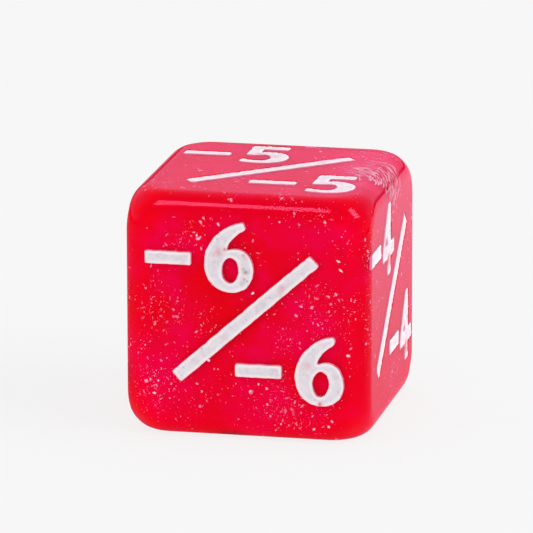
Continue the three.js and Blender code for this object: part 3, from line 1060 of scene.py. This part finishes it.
studio = {
    "backdrop": 0.9215,
    "floorGlow": 0.812,
    "floorMatt": greys(0.1),
    "floorSize": 8000,
    "throughResin": 1.70,            # light that enters the resin
    "roomOnPaint": 0.90,
    # what the shine shows of the floor, painted shade and a painted red glow near the die that only
    # reflections see, and the spans in metres over which the colours change
    "floorShadeInShine": {"front": (0.15, 0.11, 0.18), "right": (0.84, 0.19, 0.31),
                      "far": (0.90, 0.34, 0.54), "back": (0.58, 0.06, 0.14)},
    "floorSpans": {"behind": (-0.012, -0.004), "beside": (0.004, 0.0085), "distant": (0.005, 0.060)},
    # and of the room, where the spans are parts of a direction
    "roomMirrored": {"front": (0.15, 0.12, 0.20), "back": (0.84, 0.31, 0.54), "horizon": (0.35, 0.0, 0.05)},
    "roomSpans": {"behind": (-0.2, 0.6), "beside": (0.75, 0.9), "low": (0.35, 0.2), "level": (0.03, 0.07)},
    "horizonHeight": 0.05,
    "cornerLight": {"radiance": 9.0, "turn": 84.0, "height": 48.0, "distance": 0.6, "size": (0.10, 0.17)},
    "sideFill": {"radiance": 4.5, "turn": 80.0, "height": 36.0, "distance": 0.7, "size": (0.5, 0.4)},
    "softbox": {"radiance": 7.0, "turn": -27.0, "height": 49.7, "distance": 0.6, "size": (0.39, 0.2)},
}


def raySwitch(tree):
    path = addNode(tree, "LightPath")
    mirrored = addMath(tree, "MULTIPLY", path.outputs["Is Glossy Ray"], path.outputs["Is Reflection Ray"])
    return path.outputs["Is Camera Ray"], path.outputs["Is Transmission Ray"], mirrored


def makeFloor():
    material = bpy.data.materials.new("paleFloor")
    material.use_nodes = True
    tree = material.node_tree
    tree.nodes.clear()
    _, through, mirrored = raySwitch(tree)
    place = addNode(tree, "TexCoord").outputs["Object"]
    axes = addNode(tree, "SeparateXYZ", Vector=place).outputs
    mirror, spans = studio["floorShadeInShine"], studio["floorSpans"]
    behind = addStep(tree, axes["Y"], spans["behind"])
    beside = addStep(tree, axes["X"], spans["beside"])
    distant = addStep(tree, axes["Y"], spans["distant"])
    right = addMix(tree, distant, mirror["right"], mirror["far"])
    dim = addMix(tree, behind, mirror["front"], addMix(tree, beside, mirror["back"], right))
    # painted shade and a painted red glow on the floor near the die, seen only by reflection rays
    lit = addMix(tree, mirrored, greys(studio["floorGlow"]), dim)
    lit = addMix(tree, through, lit, greys(studio["throughResin"]))
    glow = addNode(tree, "Emission", Color=lit, Strength=1.0)
    matt = addNode(tree, "BsdfDiffuse", Color=(*studio["floorMatt"], 1))
    both = addNode(tree, "AddShader")
    tree.links.new(glow.outputs[0], both.inputs[0])
    tree.links.new(matt.outputs[0], both.inputs[1])
    addNode(tree, "OutputMaterial", Surface=both.outputs[0])
    bm = bmesh.new()
    bmesh.ops.create_grid(bm, x_segments=8, y_segments=8, size=studio["floorSize"])
    floor = newPiece("floor", meshFrom(bm, "floor"), material)


def makeWorld():
    world = bpy.data.worlds.new("softRoom")
    scene.world = world
    world.use_nodes = True
    tree = world.node_tree
    background = next(node for node in tree.nodes if node.type == "BACKGROUND")
    seen, through, mirrored = raySwitch(tree)
    direction = addNode(tree, "TexCoord").outputs["Generated"]
    axes = addNode(tree, "SeparateXYZ", Vector=direction).outputs
    mirror, spans = studio["roomMirrored"], studio["roomSpans"]
    behind = addStep(tree, axes["Y"], spans["behind"])
    beside = addStep(tree, addMath(tree, "ABSOLUTE", axes["X"], 0.0), spans["beside"])
    low = addStep(tree, axes["Z"], spans["low"])
    behind = addMath(tree, "MAXIMUM", behind, addMath(tree, "MULTIPLY", beside, low))
    above = addMath(tree, "SUBTRACT", axes["Z"], studio["horizonHeight"])
    level = addStep(tree, addMath(tree, "ABSOLUTE", above, 0.0), spans["level"])
    dim = addMix(tree, behind, mirror["front"], addMix(tree, level, mirror["horizon"], mirror["back"]))
    room = addMix(tree, mirrored, greys(studio["roomOnPaint"]), dim)
    room = addMix(tree, through, room, greys(studio["throughResin"]))
    whole = addMix(tree, seen, room, greys(studio["backdrop"]))
    tree.links.new(whole, background.inputs["Color"])


def makeLamp(name):
    settings = studio[name]
    light = bpy.data.lights.new(name, "AREA")
    light.shape = "RECTANGLE"
    light.size, light.size_y = settings["size"]
    light.energy = settings["radiance"] * math.pi * light.size * light.size_y
    turn, height = math.radians(settings["turn"]), math.radians(settings["height"])
    away = Vector((math.sin(turn) * math.cos(height), -math.cos(turn) * math.cos(height), math.sin(height)))
    lamp = bpy.data.objects.new(name, light)
    scene.collection.objects.link(lamp)
    lamp.matrix_world = (Matrix.Translation(away * settings["distance"] + Vector((0, 0, half * millimetre)))
                         @ away.to_track_quat("Z", "Y").to_matrix().to_4x4())
    lamp.visible_transmission = False
    lamp.visible_camera = False
    return lamp


makeFloor()
makeWorld()
for name in ("softbox", "cornerLight"):
    makeLamp(name).visible_diffuse = False  # only for the shine
makeLamp("sideFill").visible_glossy = False
scene.view_settings.view_transform = "Standard"
scene.view_settings.look = "None"
scene.cycles.max_bounces = 24
scene.cycles.diffuse_bounces = 10
scene.cycles.transmission_bounces = 24
scene.cycles.glossy_bounces = 12
print("floor and light ready")

bpy.context.view_layer.update()
